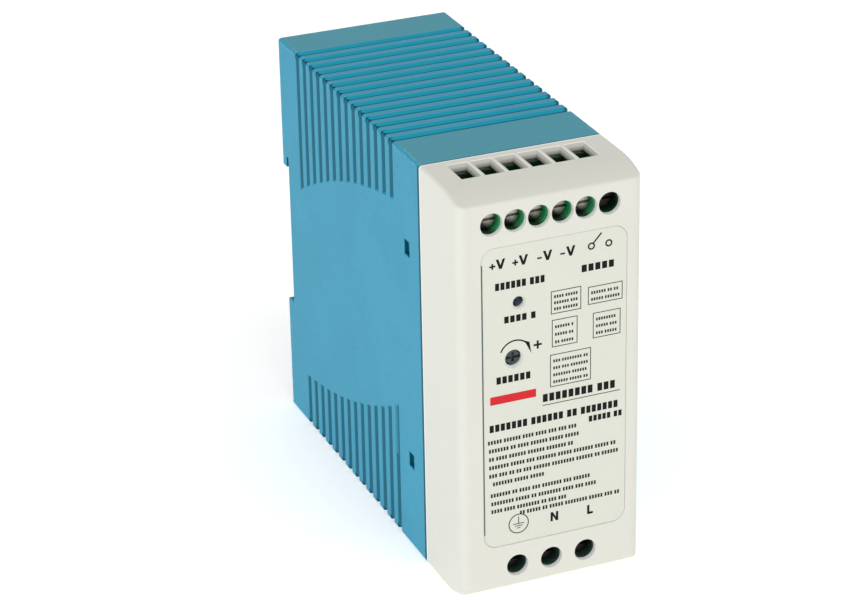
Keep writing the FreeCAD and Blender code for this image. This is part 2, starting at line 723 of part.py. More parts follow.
def terminal_body(name, side):
    """Moulded block with a screw recess, a clamp chamber, a wire way and a bar slot for each pole."""
    half = "%s_pitch * %s_poles / 2 + 0.66" % (name, name)
    front = behind("block_front")
    rear = behind(BOARD_REAR)
    low = box(name + "_block", ("-(%s)" % half, half), (front, rear),
              levels(side, "screw_line - block_below", "screw_line + block_above"))
    tower = box(name + "_tower", ("-(%s)" % half, half), (behind("tower_front"), rear),
                levels(side, "screw_line", "screw_line + tower_above"))
    tools = []
    clamp_half = "%s_pitch / 2 - pole_wall" % name
    room = "clamp_half + clamp_room"
    for centre in pole_centres(name):
        axis = (centre, levels(side, "screw_line", "screw_line")[0])
        tools.append(rod(name + "_recess", "y", "recess_radius", axis, (front + " - 1", behind("web_front"))))
        tools.append(rod(name + "_shank_way", "y", "shank_radius + 0.1", axis,
                         (front, behind("web_front + web + 0.5"))))
        tools.append(box(name + "_chamber", about(centre, clamp_half + " + clamp_room"),
                         (behind("web_front + web"), behind("clamp_front + clamp_length + 0.2")),
                         levels(side, "screw_line - (%s)" % room, "screw_line + " + room)))
        tools.append(box(name + "_wire_way", about(centre, clamp_half + " - 0.06"),
                         (behind("way_front"), behind("way_front + way_depth")),
                         levels(side, "screw_line + clamp_half", "screw_line + tower_above + 1")))
        tools.append(box(name + "_bar_slot", about(centre, "bar_half + 0.05"),
                         (behind("bar_front - 0.05"), rear + " + 1"),
                         levels(side, "screw_line - bar_foot - 0.05", "screw_line - clamp_half")))
    blank = fuse(name + "_blank", low, tower)
    return node(name + "_terminal_body", cut(name + "_terminal_body", blank, *tools))


def contact_bars(name, side):
    """Bent bars, one inside each clamp, whose feet pass through the terminal board."""
    bars = []
    for centre in pole_centres(name):
        upright = box(name + "_bar_upright", about(centre, "bar_half"),
                      (behind("bar_front"), behind("bar_front + bar_sheet")),
                      levels(side, "screw_line - bar_foot", "screw_line + clamp_half - 0.4"))
        foot = box(name + "_bar_foot", about(centre, "bar_half"),
                   (behind("bar_front"), behind(BOARD_REAR + " + board_sheet + 1.2")),
                   levels(side, "screw_line - bar_foot", "screw_line - bar_foot + bar_sheet"))
        bars.append(fuse(name + "_bar", upright, foot))
    return node(name + "_contact_bars", group(name + "_contact_bars", bars))


def terminal_screws(name, side):
    """Slotted cheese-head screws, one to a pole."""
    height = levels(side, "screw_line", "screw_line")[0]
    under = behind("web_front - 0.05")
    face = behind("web_front - 0.05 - head_height")
    for number, centre in enumerate(pole_centres(name), start=1):
        axis = (centre, height)
        head = rod(name + "_head", "y", "head_radius", axis, (face, under))
        shank = rod(name + "_shank", "y", "shank_radius", axis, (under, under + " + shank_length"))
        slot = box(name + "_slot", about(centre, "head_radius + 1"), (face + " - 1", face + " + 0.8"),
                   about(height, "head_slot / 2"))
        label = "%s_screw_%d" % (name, number)
        node(label, cut(label, fuse(name + "_screw_blank", head, shank), slot))


def wire_clamps(name, side):
    """Rising clamps: square sleeves open upwards and downwards with a threaded front plate."""
    height = levels(side, "screw_line", "screw_line")[0]
    front = behind("clamp_front")
    rear = front + " + clamp_length"
    for number, centre in enumerate(pole_centres(name), start=1):
        half = "%s_pitch / 2 - pole_wall" % name
        sleeve = box(name + "_sleeve", about(centre, half), (front, rear), about(height, "clamp_half"))
        window = box(name + "_window", about(centre, half + " - clamp_sheet"),
                     (front + " + clamp_plate", rear + " - clamp_sheet"), about(height, "clamp_half + 1"))
        thread = rod(name + "_thread", "y", "shank_radius + 0.05", (centre, height),
                     (front + " - 1", front + " + clamp_plate + 0.2"))
        label = "%s_clamp_%d" % (name, number)
        node(label, cut(label, sleeve, window, thread))


# ---------- boards ----------

def bar_holes(name, side):
    """Holes in the terminal board for the feet of the contact bars."""
    return [box(name + "_bar_hole", about(centre, "bar_half + 0.05"),
                (behind(BOARD_REAR + " - 1"), behind(BOARD_REAR + " + board_sheet + 1")),
                levels(side, "screw_line - bar_foot - 0.05", "screw_line - bar_foot + bar_sheet + 0.05"))
            for centre in pole_centres(name)]


def link_pins():
    """Square pins that join the two boards."""
    return [box("link_pin", ("main_board_x - 1.6", "main_board_x - 0.96"),
                (behind(BOARD_REAR + " - 0.8"), behind(BOARD_REAR + " + board_sheet + 1.9")),
                about(MID + " + %s" % (5.08 * (index - 3.5)), "0.32")) for index in range(8)]


def boards():
    """Terminal board across the front, main board along one side, and the header between them."""
    pins = link_pins()
    blank = box("terminal_board_blank", ("-front_board_half", "front_board_half"),
                (behind(BOARD_REAR), behind(BOARD_REAR + " + board_sheet")),
                ("board_margin", "unit_height - board_margin"))
    holes = bar_holes("output", 1) + bar_holes("input", -1) + pins
    node("terminal_board", cut("terminal_board", blank, *holes))
    node("main_board", box("main_board", (BOARD_FACE, BOARD_FACE + " + board_sheet"),
                           (behind("main_board_front"), REAR + " - main_board_rear"),
                           ("board_margin", "unit_height - board_margin")))
    strip = box("link_strip", (BOARD_FACE + " - 2.54", BOARD_FACE),
                (behind(BOARD_REAR + " + board_sheet"), behind(BOARD_REAR + " + board_sheet + 2.54")),
                about(MID, "20.32"))
    node("board_link_header", cut("board_link_header", strip, *pins))
    node("board_link_pins", group("board_link_pins", pins))
    node("insulation_sheet", box("insulation_sheet", ("17.2", "17.6"),
                                 (SEAM + " + 10", SEAT + " - wall - 0.4"),
                                 ("wall + 1", "unit_height - wall - 1")))


def status_led():
    """Light with a domed nose that fills its hole, on a spacer from the terminal board."""
    axis = ("led_x", MID + " + led_level")
    radius = "led_hole - 0.1"
    shoulder = behind("cover_front_wall + 0.8")
    dome = doc.addObject("Part::Sphere", "led_dome")
    dome.setExpression("Radius", bound(radius))
    centre = behind("label_sink + 1.2")
    for each, text in zip("xyz", (axis[0], centre, axis[1])):
        place(dome, each, text)
    nose = rod("led_nose", "y", radius, axis, (centre, shoulder))
    flange = rod("led_flange", "y", "1.9", axis, (shoulder, shoulder + " + 2.6"))
    node("status_led", fuse("status_led", dome, nose, flange))
    node("led_spacer", rod("led_tube", "y", "1.9", axis, (shoulder + " + 2.6", behind(BOARD_REAR))))


def voltage_trimmer():
    """Single-turn trimmer: square body with a slotted rotor that stands in its hole."""
    axis = ("trim_x", MID + " + trim_level")
    face = behind("cover_front_wall + 1.2")
    tip = behind("label_sink + 0.5")
    radius = "trim_hole - 0.3"
    body = box("trimmer_block", about(axis[0], "3.3"), (face, behind(BOARD_REAR)), about(axis[1], "3.3"))
    seat = rod("trimmer_seat", "y", radius + " + 0.05", axis, (face + " - 1", face + " + 1.1"))
    node("trimmer_body", cut("trimmer_body", rounded("trimmer_case", body, "0.4", "y"), seat))
    rotor = rod("rotor_blank", "y", radius, axis, (tip, face + " + 1"))
    slot = box("rotor_slot", about(axis[0], "1.6"), (tip + " - 1", tip + " + 0.6"), about(axis[1], "0.3"))
    cross = box("rotor_cross", about(axis[0], "0.3"), (tip + " - 1", tip + " + 0.6"), about(axis[1], "1"))
    node("trimmer_rotor", cut("trimmer_rotor", rotor, slot, cross))


# ---------- components on the main board ----------

def standing(length):
    """X range of a component that stands this tall on the main board."""
    return (BOARD_FACE + " - " + length, BOARD_FACE)


def transformer():
    """Ferrite core, wound bobbin and tape-wrapped winding."""
    y = "6"
    z = "45"
    core = box("core_block", standing("23"), about(y, "14"), about(z, "14"))
    windows = [box("core_window", ("-20", "20"), about("%s + %d * 8.2" % (y, way), "3.8"), about(z, "9.6"))
               for way in (1, -1)]
    node("transformer_core", cut("transformer_core", core, *windows))
    span = (BOARD_FACE + " - 25", BOARD_FACE + " - 0.4")
    inside = box("bobbin_inside", ("-20", "20"), about(y, "4.45"), about(z, "14"))
    tube = box("bobbin_tube", span, about(y, "5.2"), about(z, "9.5"))
    flanges = [box("bobbin_flange", span, about(y, "11.9"), about("%s + %d * 8.9" % (z, way), "0.6"))
               for way in (1, -1)]
    legs = box("bobbin_clear", standing("23.05"), about(y, "4.45"), about(z, "14"))
    bobbin = cut("transformer_bobbin", fuse("bobbin_blank", tube, *flanges), inside, legs)
    node("transformer_bobbin", bobbin)
    wound = box("winding_block", (span[0] + " + 0.6", span[1] + " - 0.6"), about(y, "11.2"), about(z, "8.25"))
    hollow = box("winding_hollow", ("-20", "20"), about(y, "5.25"), about(z, "12"))
    turns = rounded("winding_round", wound, "1.2", "z")
    node("transformer_winding", cut("transformer_winding", turns, hollow))


def can(name, radius, height, y, z):
    """Electrolytic capacitor: a can with a rolled neck and a vented, rounded end."""
    low, high = standing(height)
    body = rod(name + "_body", "x", radius, (y, z), (low, high))
    neck = ring(name + "_neck", "x", radius, "0.5", (high + " - 2.5", y, z))
    vent = box(name + "_vent", (low + " - 1", low + " + 0.25"), about(y, radius + " * 0.6"), about(z, "0.2"))
    cross = box(name + "_cross", (low + " - 1", low + " + 0.25"), about(y, "0.2"),
                about(z, radius + " * 0.6"))
    return cut(name, body, neck, vent, cross)


def capacitors():
    node("mains_capacitor", can("mains_capacitor", "9", "30", "33", "36.5"))
    cans = [can("output_can", "5", "20", "-19", str(level)) for level in (54, 65.5, 77)]
    node("output_capacitors", group("output_capacitors", cans))
    case = rounded("x_case", box("x_block", standing("15"), ("22", "31"), ("5.4", "23.4")), "0.8", "x", "y")
    node("x_capacitor", case)
    discs = [rod("y_disc", "y", "4", (BOARD_FACE + " - 5.5", str(level)), ("24", "28")) for level in (68, 78)]
    node("y_capacitors", group("y_capacitors", discs))


def toroid(name, radius, thick, y, z, turns, wire, gap_turns):
    """Ring core with wire turns round it; gap_turns are left bare on opposite sides."""
    outer = "%s + %s + 2 * %s + 0.1" % (radius, thick, wire)
    centre = (BOARD_FACE + " - (%s)" % outer, y, z)
    core = ring(name + "_core", "y", radius, thick, centre)
    loops = []
    for index in range(turns):
        if index % (turns // 2) < gap_turns:
            continue
        angle = 360.0 * (index + 0.5 * (1 - gap_turns)) / turns
        turn = doc.addObject("Part::Torus", name + "_turn")
        turn.setExpression("Radius1", bound("%s + %s + 0.06" % (thick, wire)))
        turn.setExpression("Radius2", bound(wire))
        tilt = FreeCAD.Rotation(FreeCAD.Vector(0, 1, 0), -angle)
        turn.Placement = FreeCAD.Placement(FreeCAD.Vector(), tilt)
        place(turn, "x", centre[0] + " + (%s) * cos(%s)" % (radius, angle))
        place(turn, "y", y)
        place(turn, "z", z + " + (%s) * sin(%s)" % (radius, angle))
        loops.append(turn)
    node(name + "_core", core)
    node(name + "_windings", group(name + "_windings", loops))


def mains_filter():
    """Fuse, surge parts, common-mode choke and bridge rectifier on the input side."""
    toroid("common_mode_choke", "6", "2", "13", "14", 26, "0.4", 3)
    glass = rod("fuse_glass", "y", "2.2", (BOARD_FACE + " - 2.8", "8.5"), ("-23", "-8"))
    caps = [rod("fuse_cap", "y", "2.6", (BOARD_FACE + " - 2.8", "8.5"), span)
            for span in (("-25", "-20"), ("-11", "-6"))]
    node("fuse_end_caps", group("fuse_end_caps", [cut("fuse_ferrule", each, glass) for each in caps]))
    node("fuse_glass", glass)
    disc = rod("varistor_disc", "y", "5.5", (BOARD_FACE + " - 6.6", "12"), ("-3", "0.6"))
    node("surge_varistor", rounded_rim("surge_varistor", disc, 1.0))
    disc = rod("thermistor_disc", "y", "4.5", (BOARD_FACE + " - 5.6", "17"), ("-19", "-15"))
    node("inrush_thermistor", rounded_rim("inrush_thermistor", disc, 1.2))
    block = box("bridge_block", standing("13"), ("34", "38.5"), ("6", "22"))
    node("bridge_rectifier", rounded("bridge_rectifier", block, "0.5", "x"))


def rounded_rim(name, base, radius):
    """Part::Fillet on the round edges of a disc."""
    doc.recompute()
    item = doc.addObject("Part::Fillet", name)
    item.Base = base
    item.Edges = [(number, radius, radius) for number, edge in enumerate(base.Shape.Edges, start=1)
                  if edge.Curve.TypeId == "Part::GeomCircle"]
    return item


def heat_sink(name, level, way, fins_at):
    """Bent aluminium plate with a short foot, drilled for its transistor's screw."""
    plate = box(name + "_plate", standing("24"), ("-11", "17"), about(level, "1"))
    foot = box(name + "_foot", (BOARD_FACE + " - 24", BOARD_FACE + " - 22"), ("-11", "17"),
               (level, level + " + 4") if way > 0 else (level + " - 4", level))
    hole = rod(name + "_hole", "z", "1.6", (BOARD_FACE + " - 15", fins_at), (level + " - 3", level + " + 3"))
    return node(name, cut(name, fuse(name + "_blank", plate, foot), hole))


def power_package(name, level, way, y):
    """Flat power package that lies on its heat sink with its tab towards the screw."""
    low, high = ("1", "5.4") if way > 0 else ("-5.4", "-1")
    tab_low, tab_high = ("1", "2.3") if way > 0 else ("-2.3", "-1")
    case = box(name + "_case", (BOARD_FACE + " - 12", BOARD_FACE + " - 3"), about(y, "5"),
               (level + " + " + low, level + " + " + high))
    tab = box(name + "_tab", (BOARD_FACE + " - 18.5", BOARD_FACE + " - 12"), about(y, "5"),
              (level + " + " + tab_low, level + " + " + tab_high))
    legs = [box(name + "_leg", (BOARD_FACE + " - 3", BOARD_FACE), about("%s + %s" % (y, 2.54 * step), "0.4"),
                about(level + " + (%s + %s) / 2" % (low, high), "0.25")) for step in (-1, 0, 1)]
    hole = rod(name + "_hole", "z", "1.6", (BOARD_FACE + " - 15", y), (level + " - 6", level + " + 6"))
    return node(name, cut(name, fuse(name + "_blank", case, tab, *legs), hole))


def heat_sink_screw(level, way, y):
    """Pan-head screw and its nut that hold a power package to its plate."""
    centre = (BOARD_FACE + " - 15", y)

    def span(near, far):
        ends = sorted((way * near, way * far))
        return ("%s + %s" % (level, ends[0]), "%s + %s" % (level, ends[1]))

    head = rod("sink_head", "z", "2.7", centre, span(2.32, 4.2))
    shank = rod("sink_shank", "z", "1.5", centre, span(-3.2, 2.4))
    nut = rod("sink_nut", "z", "2.9", centre, span(-3.4, -1.02))
    return fuse("sink_screw", head, shank, nut)


def power_stage():
    """Switch and output rectifier on their heat sinks."""
    heat_sink("primary_heatsink", "26", 1, "-4")
    power_package("switching_transistor", "26", -1, "-4")
    heat_sink("secondary_heatsink", "63.5", -1, "-2")
    power_package("output_rectifier", "63.5", 1, "-2")
    screws = [heat_sink_screw("26", -1, "-4"), heat_sink_screw("63.5", 1, "-2")]
    node("heatsink_screws", group("heatsink_screws", screws))
    toroid("output_inductor", "5", "1.9", "12", "77.5", 22, "0.5", 2)


def chip(name, low_x, y, z, pitch_count):
    """Small moulded package with a row of legs on its two long sides."""
    case = box(name + "_case", (BOARD_FACE + " - " + low_x, BOARD_FACE + " - 0.5"), about(y, "3.2"), z)
    legs = []
    for index in range(pitch_count):
        level = "%s + %s" % (z[0], 1.2 + 2.54 * index)
        for way in (1, -1):
            legs.append(box(name + "_leg", (BOARD_FACE + " - 1.6", BOARD_FACE),
                            about("%s + %s" % (y, 3.4 * way), "0.25"), about(level, "0.3")))
    return fuse(name, case, *legs)


def small_parts():
    """Optocouplers, control chip and signal relay."""
    couplers = [chip("optocoupler", "3.5", "-24", (low, low + " + 4.9"), 2) for low in ("33", "41")]
    node("optocouplers", group("optocouplers", couplers))
    node("control_chip", chip("control_chip", "3.4", "-22", ("22", "32.1"), 4))
    case = rounded("relay_case", box("relay_block", standing("10"), ("24", "39"), ("50", "57.5")), "0.6", "x")
    node("signal_relay", case)


# ---------- assembly ----------

rear_housing()
front_cover()
rating_label()
rail_latch()
latch_spring()
for block_name, block_side in (("output", 1), ("input", -1)):
    terminal_body(block_name, block_side)
    contact_bars(block_name, block_side)
    terminal_screws(block_name, block_side)
    wire_clamps(block_name, block_side)
boards()
status_led()
voltage_trimmer()
transformer()
capacitors()
mains_filter()
power_stage()
small_parts()
doc.recompute()

broken = [item.Name for item in doc.Objects if {"Invalid", "Error"} & set(item.State)]
if broken:
    raise RuntimeError("these objects failed: " + ", ".join(broken))
for item in nodes:
    if item.Shape.isNull() or not item.Shape.isValid():
        raise RuntimeError(item.Label + " has no valid shape")

os.makedirs("parts", exist_ok=True)
for item in nodes:
    item.Shape.exportStep("parts/" + item.Label + ".step")
print(len(nodes), "sub-parts written")
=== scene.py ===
"""Looks of a slim rail-mounted power supply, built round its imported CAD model.

The CAD nodes keep their places. This script paints them, adds the label's print, stands a coil in for the
latch spring and lights the scene. All sizes are in metres, in the frame of the CAD model: X across, the
front face towards -Y, Z up. The label's print is laid out in millimetres.
"""

import json
import math
import random

import bmesh
import bpy
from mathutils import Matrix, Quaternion, Vector


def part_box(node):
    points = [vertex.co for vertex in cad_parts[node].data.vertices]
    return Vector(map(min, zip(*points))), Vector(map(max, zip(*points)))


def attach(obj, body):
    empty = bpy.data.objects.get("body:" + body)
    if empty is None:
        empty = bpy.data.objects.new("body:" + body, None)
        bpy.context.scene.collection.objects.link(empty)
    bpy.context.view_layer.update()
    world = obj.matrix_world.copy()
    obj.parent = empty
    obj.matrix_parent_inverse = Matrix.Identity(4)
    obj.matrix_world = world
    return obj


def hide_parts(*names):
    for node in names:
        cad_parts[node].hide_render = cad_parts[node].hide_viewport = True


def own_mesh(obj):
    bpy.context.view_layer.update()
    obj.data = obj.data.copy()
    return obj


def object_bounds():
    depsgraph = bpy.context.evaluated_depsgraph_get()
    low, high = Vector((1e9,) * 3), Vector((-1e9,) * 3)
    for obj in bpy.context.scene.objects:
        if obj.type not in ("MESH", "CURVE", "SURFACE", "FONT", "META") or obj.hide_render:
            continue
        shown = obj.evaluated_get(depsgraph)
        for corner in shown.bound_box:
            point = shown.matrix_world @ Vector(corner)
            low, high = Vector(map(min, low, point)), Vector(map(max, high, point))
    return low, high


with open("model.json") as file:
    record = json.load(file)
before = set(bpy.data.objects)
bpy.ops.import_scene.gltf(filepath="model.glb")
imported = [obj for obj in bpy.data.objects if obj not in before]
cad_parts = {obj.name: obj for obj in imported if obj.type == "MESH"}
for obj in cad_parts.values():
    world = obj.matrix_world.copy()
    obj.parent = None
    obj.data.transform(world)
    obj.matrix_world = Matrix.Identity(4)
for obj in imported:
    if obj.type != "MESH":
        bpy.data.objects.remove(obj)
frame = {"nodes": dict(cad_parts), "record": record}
cad_low, cad_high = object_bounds()

MM = 0.001
CENTRE = (cad_low + cad_high) / 2
HALF = (cad_high - cad_low) / 2


# ---------- material building ----------

class Paint:
    """A node material built round one Principled shader."""

    def __init__(self, name, colour, roughness, metallic=0.0, specular=0.5):
        self.material = bpy.data.materials.new(name)
        self.material.use_nodes = True
        self.tree = self.material.node_tree
        self.shader = self.tree.nodes["Principled BSDF"]
        self.set("Roughness", roughness)
        self.set("Metallic", metallic)
        self.set("Specular IOR Level", specular)
        self.set("Base Color", (*colour, 1.0))
        self.material.diffuse_color = (*colour, 1.0)

    def feed(self, socket, source):
        """Link a socket to another node's output, or set its value."""
        if isinstance(source, bpy.types.NodeSocket):
            self.tree.links.new(source, socket)
        else:
            socket.default_value = source

    def set(self, name, source):
        self.feed(self.shader.inputs[name], source)

    def node(self, kind, output, **inputs):
        """Add a node, set its inputs and return one of its outputs."""
        made = self.tree.nodes.new("ShaderNode" + kind)
        for name, source in inputs.items():
            self.feed(made.inputs[name.replace("_", " ")], source)
        return made.outputs[output]

    def place(self):
        """Position on the piece, in metres."""
        return self.node("TexCoord", "Object")

    def split(self, vector):
        """The three coordinates of a vector."""
        x = self.node("SeparateXYZ", "X", Vector=vector)
        return x, x.node.outputs["Y"], x.node.outputs["Z"]

    def times(self, vector, factors):
        """Coordinates scaled differently along each axis."""
        made = self.tree.nodes.new("ShaderNodeVectorMath")
        made.operation = "MULTIPLY"
        self.feed(made.inputs[0], vector)
        self.feed(made.inputs[1], factors)
        return made.outputs[0]

    def calc(self, operation, first, second=0.0, clamp=False):
        """One Math node."""
        made = self.tree.nodes.new("ShaderNodeMath")
        made.operation = operation
        made.use_clamp = clamp
        self.feed(made.inputs[0], first)
        self.feed(made.inputs[1], second)
        return made.outputs[0]

    def noise(self, size, detail=2.0, vector=None):
        """Cloudy pattern whose blobs are about this size in metres."""
        return self.node("TexNoise", "Fac", Vector=vector or self.place(), Scale=1 / size, Detail=detail)

    def cells(self, size, vector=None):
        """Distance to scattered points about this far apart."""
        return self.node("TexVoronoi", "Distance", Vector=vector or self.place(), Scale=1 / size)

    def rise(self, source, low, high):
        """0 below low, 1 above high, straight in between."""
        return self.node("MapRange", "Result", Value=source, From_Min=low, From_Max=high)

    def within(self, source, low, high, fade):
        """1 between low and high, fading to 0 just inside them."""
        above = self.rise(source, low, low + fade)
        below = self.rise(source, high, high - fade)
        return self.calc("MULTIPLY", above, below)

    def all_of(self, *masks):
        """The masks and factors multiplied together."""
        product = masks[0]
        for mask in masks[1:]:
            product = self.calc("MULTIPLY", product, mask)
        return product

    def blend(self, factor, first, second):
        """Colour between two colours."""
        made = self.tree.nodes.new("ShaderNodeMix")
        made.data_type = "RGBA"
        sockets = made.inputs[0], made.inputs[6], made.inputs[7]
        for socket, source in zip(sockets, (factor, first, second)):
            self.feed(socket, (*source, 1.0) if isinstance(source, tuple) and len(source) == 3 else source)
        return made.outputs[2]

    def bump(self, height, depth, strength=1.0, under=None):
        """Surface relief this deep in metres, on top of another relief if there is one."""
        made = self.tree.nodes.new("ShaderNodeBump")
        self.feed(made.inputs["Strength"], strength)
        made.inputs["Distance"].default_value = depth
        self.feed(made.inputs["Height"], height)
        if under:
            self.feed(made.inputs["Normal"], under)
        return made.outputs["Normal"]


def scaled(colour, factor):
    """Colour made lighter or darker."""
    return tuple(min(1.0, part * factor) for part in colour)


def edge_mask(paint, low, high, width):
    """1 along the long edges of a box, fading to 0 over a width."""
    near = []
    for coordinate, first, last in zip(paint.split(paint.place()), low, high):
        away = paint.calc("ABSOLUTE", paint.calc("SUBTRACT", coordinate, (first + last) / 2))
        near.append(paint.rise(away, (last - first) / 2 - width, (last - first) / 2))
    pairs = [paint.calc("MULTIPLY", near[a], near[b]) for a, b in ((0, 1), (1, 2), (0, 2))]
    return paint.calc("ADD", paint.calc("ADD", pairs[0], pairs[1]), pairs[2], clamp=True)


def moulded(name, colour, roughness, grain=0.3 * MM, relief=0.012 * MM, specular=0.4, variation=0.08):
    """Injection-moulded plastic: fine grain, faint flow clouds and slightly uneven gloss."""
    paint = Paint(name, colour, roughness, specular=specular)
    clouds = paint.noise(9 * MM, 3.0)
    fine = paint.noise(grain, 2.0)
    tone = paint.calc("ADD", paint.calc("MULTIPLY", clouds, 0.6), paint.calc("MULTIPLY", fine, 0.4))
    paint.set("Base Color", paint.blend(tone, scaled(colour, 1 - variation), scaled(colour, 1 + variation)))
    paint.set("Roughness", paint.node("MapRange", "Result", Value=tone, From_Min=0.2, From_Max=0.8,
                                      To_Min=roughness - 0.06, To_Max=roughness + 0.06))
    paint.set("Normal", paint.bump(fine, relief))
    return paint


def metal(name, colour, roughness, stretch=(1.0, 1.0, 1.0), lines=0.08 * MM, relief=0.004 * MM):
    """Bare or plated metal: directional working marks, smudges and a little tarnish."""
    paint = Paint(name, colour, roughness, metallic=1.0)
    marks = paint.noise(lines, 3.0, paint.times(paint.place(), stretch))
    smudge = paint.noise(2.5 * MM, 3.0)
    tarnish = paint.rise(smudge, 0.45, 0.75)
    paint.set("Base Color", paint.blend(tarnish, scaled(colour, 1.05), scaled(colour, 0.72)))
    both = paint.calc("ADD", paint.calc("MULTIPLY", marks, 0.5), paint.calc("MULTIPLY", smudge, 0.5))
    paint.set("Roughness", paint.node("MapRange", "Result", Value=both, From_Min=0.3, From_Max=0.7,
                                      To_Min=max(0.05, roughness - 0.1), To_Max=roughness + 0.12))
    paint.set("Normal", paint.bump(marks, relief))
    return paint


# ---------- casing ----------

SKIN_BLUE = (0.045, 0.325, 0.485)
SKIN_WEAR_AND_HIGHLIGHT = (0.28, 0.60, 0.74)
TOP_REFLECTION_GREY = (0.105, 0.32, 0.32)
GROOVE_TOP = (0.0, 0.34, 0.50)
GROOVE_SIDE = (0.07, 0.34, 0.52)
GROOVE_FLOOR_SHADE = (0.004, 0.045, 0.075)
GROOVE_SHADE = (0.002, 0.13, 0.20)
SEAM_SHADE = (0.003, 0.10, 0.14)
COVER_WHITE = (0.745, 0.742, 0.672)
COVER_WORN = (0.84, 0.835, 0.77)
COVER_HIGHLIGHT = (0.95, 0.95, 0.93)
ENTRY_SHADE = (0.05, 0.05, 0.045)

# Front and rear ends along Y
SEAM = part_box("rear_housing")[0].y
GROOVES_FRONT = -17.0 * MM
GROOVES_REAR = 39.2 * MM
SNAP_FRONT = -16.6 * MM
SNAP_REAR = -12.6 * MM
ENTRY_FRONT = -41.2 * MM
ENTRY_REAR = -32.5 * MM

# How far from the middle
SNAP_TOP = 26.8 * MM
ENTRY_SPAN = 16.8 * MM
HOLE_SPAN = 17.0 * MM

# How far below the skin
ENTRY_HIGHLIGHT_DEPTH = 0.15 * MM
HOLE_DEPTH = 1.2 * MM
HOLE_TOP = 2.5 * MM


def side_groove(paint, below_skin):
    """Colour of a groove that runs down a side: a bright lip over a shaded floor."""
    return paint.blend(paint.rise(below_skin, 0.06 * MM, 0.16 * MM), GROOVE_SIDE, GROOVE_SHADE)


def top_groove(paint, below_skin):
    """Colour of a groove that crosses the top: a bright slope with a dark line of painted shade along its
    floor.
    """
    return paint.blend(paint.rise(below_skin, 0.40 * MM, 0.54 * MM), GROOVE_TOP, GROOVE_FLOOR_SHADE)


def snap_recess(paint, y, side_gap, level):
    """1 inside the snap recesses in the sides."""
    fade = 0.2 * MM
    return paint.all_of(paint.within(y, SNAP_FRONT, SNAP_REAR, fade),
                        paint.rise(side_gap, 0.1 * MM, 0.5 * MM),
                        paint.rise(level, SNAP_TOP, SNAP_TOP - fade))


def painted_top_reflection(paint, y, upright):
    """How strongly a painted reflection greys the top: most on the plain strips in front of and behind the
    grooves.
    """
    fade = 0.4 * MM
    flat_top = paint.rise(upright, 0.96, 0.99)
    plain_ends = paint.calc("MAXIMUM", paint.rise(y, GROOVES_REAR, GROOVES_REAR + fade),
                            paint.rise(y, GROOVES_FRONT, GROOVES_FRONT - fade))
    reflection_share = paint.calc("ADD", paint.calc("MULTIPLY", plain_ends, 0.32), 0.13)
    return paint.calc("MULTIPLY", flat_top, reflection_share)


def housing_blue():
    """Grained outer skin, smooth and a deeper blue down in the grooves with painted shade on their floors,
    greyed on top by a painted reflection.
    """
    paint = Paint("housing_blue", SKIN_BLUE, 0.6, specular=0.25)
    x, y, z = paint.split(paint.place())
    side_gap = paint.calc("SUBTRACT", HALF.x, paint.calc("ABSOLUTE", x))
    level = paint.calc("ABSOLUTE", paint.calc("SUBTRACT", z, CENTRE.z))
    top_gap = paint.calc("SUBTRACT", HALF.z, level)
    below_skin = paint.calc("MINIMUM", side_gap, top_gap)
    upright = paint.split(paint.node("NewGeometry", "Normal"))[2]
    lying = paint.calc("ABSOLUTE", upright)

    clouds = paint.noise(14 * MM, 3.0)
    fine = paint.noise(0.42 * MM, 2.0)
    tone = paint.calc("ADD", paint.calc("MULTIPLY", clouds, 0.35), paint.calc("MULTIPLY", fine, 0.65))
    skin = paint.blend(tone, scaled(SKIN_BLUE, 0.76), scaled(SKIN_BLUE, 1.24))
    # Painted reflection: the flat top greyed where it faces up
    skin = paint.blend(painted_top_reflection(paint, y, upright), skin, TOP_REFLECTION_GREY)
    # Lighter edges: wear, and a painted highlight on the corners of the ridges
    lighter_edges = paint.all_of(edge_mask(paint, cad_low, cad_high, 1.2 * MM),
                        paint.rise(paint.noise(1.1 * MM, 4.0), 0.45, 0.7), 0.6)
    skin = paint.blend(lighter_edges, skin, SKIN_WEAR_AND_HIGHLIGHT)
    lip = paint.all_of(paint.rise(y, SEAM + 0.75 * MM, SEAM + 0.55 * MM), paint.rise(lying, 0.7, 0.4))
    skin = paint.blend(lip, skin, SEAM_SHADE)
    recess = snap_recess(paint, y, side_gap, level)
    skin = paint.blend(paint.calc("MULTIPLY", recess, 0.85), skin, SEAM_SHADE)

    groove = paint.all_of(paint.rise(below_skin, 0.02 * MM, 0.12 * MM), paint.rise(recess, 0.2, 0.0))
    in_groove = paint.blend(paint.rise(lying, 0.4, 0.7), side_groove(paint, below_skin),
                            top_groove(paint, below_skin))
    paint.set("Base Color", paint.blend(groove, skin, in_groove))
    paint.set("Roughness", paint.node("MapRange", "Result", Value=groove, To_Min=0.62, To_Max=0.42))
    grain = paint.calc("SUBTRACT", 1.0, paint.calc("MULTIPLY", groove, 0.8))
    paint.set("Normal", paint.bump(fine, 0.03 * MM, grain))
    return paint


def wire_entry(paint, across, y, down):
    """1 inside the wire entries, below the cover's top face."""
    return paint.all_of(paint.within(y, ENTRY_FRONT, ENTRY_REAR, 0.3 * MM),
                        paint.rise(across, ENTRY_SPAN, ENTRY_SPAN - 0.2 * MM),
                        paint.rise(down, 0.01 * MM, 0.02 * MM))


def hole_wall(paint, across, y, down):
    """1 on the walls of the holes through the front."""
    rear_end = cad_low.y + HOLE_DEPTH + 0.2 * MM
    facing = paint.calc("ABSOLUTE", paint.split(paint.node("NewGeometry", "Normal"))[1])
    return paint.all_of(paint.rise(facing, 0.3, 0.1), paint.rise(y, rear_end, cad_low.y + HOLE_DEPTH),
                        paint.rise(across, HOLE_SPAN, HOLE_SPAN - 0.2 * MM),
                        paint.rise(down, HOLE_TOP, HOLE_TOP + 0.3 * MM))


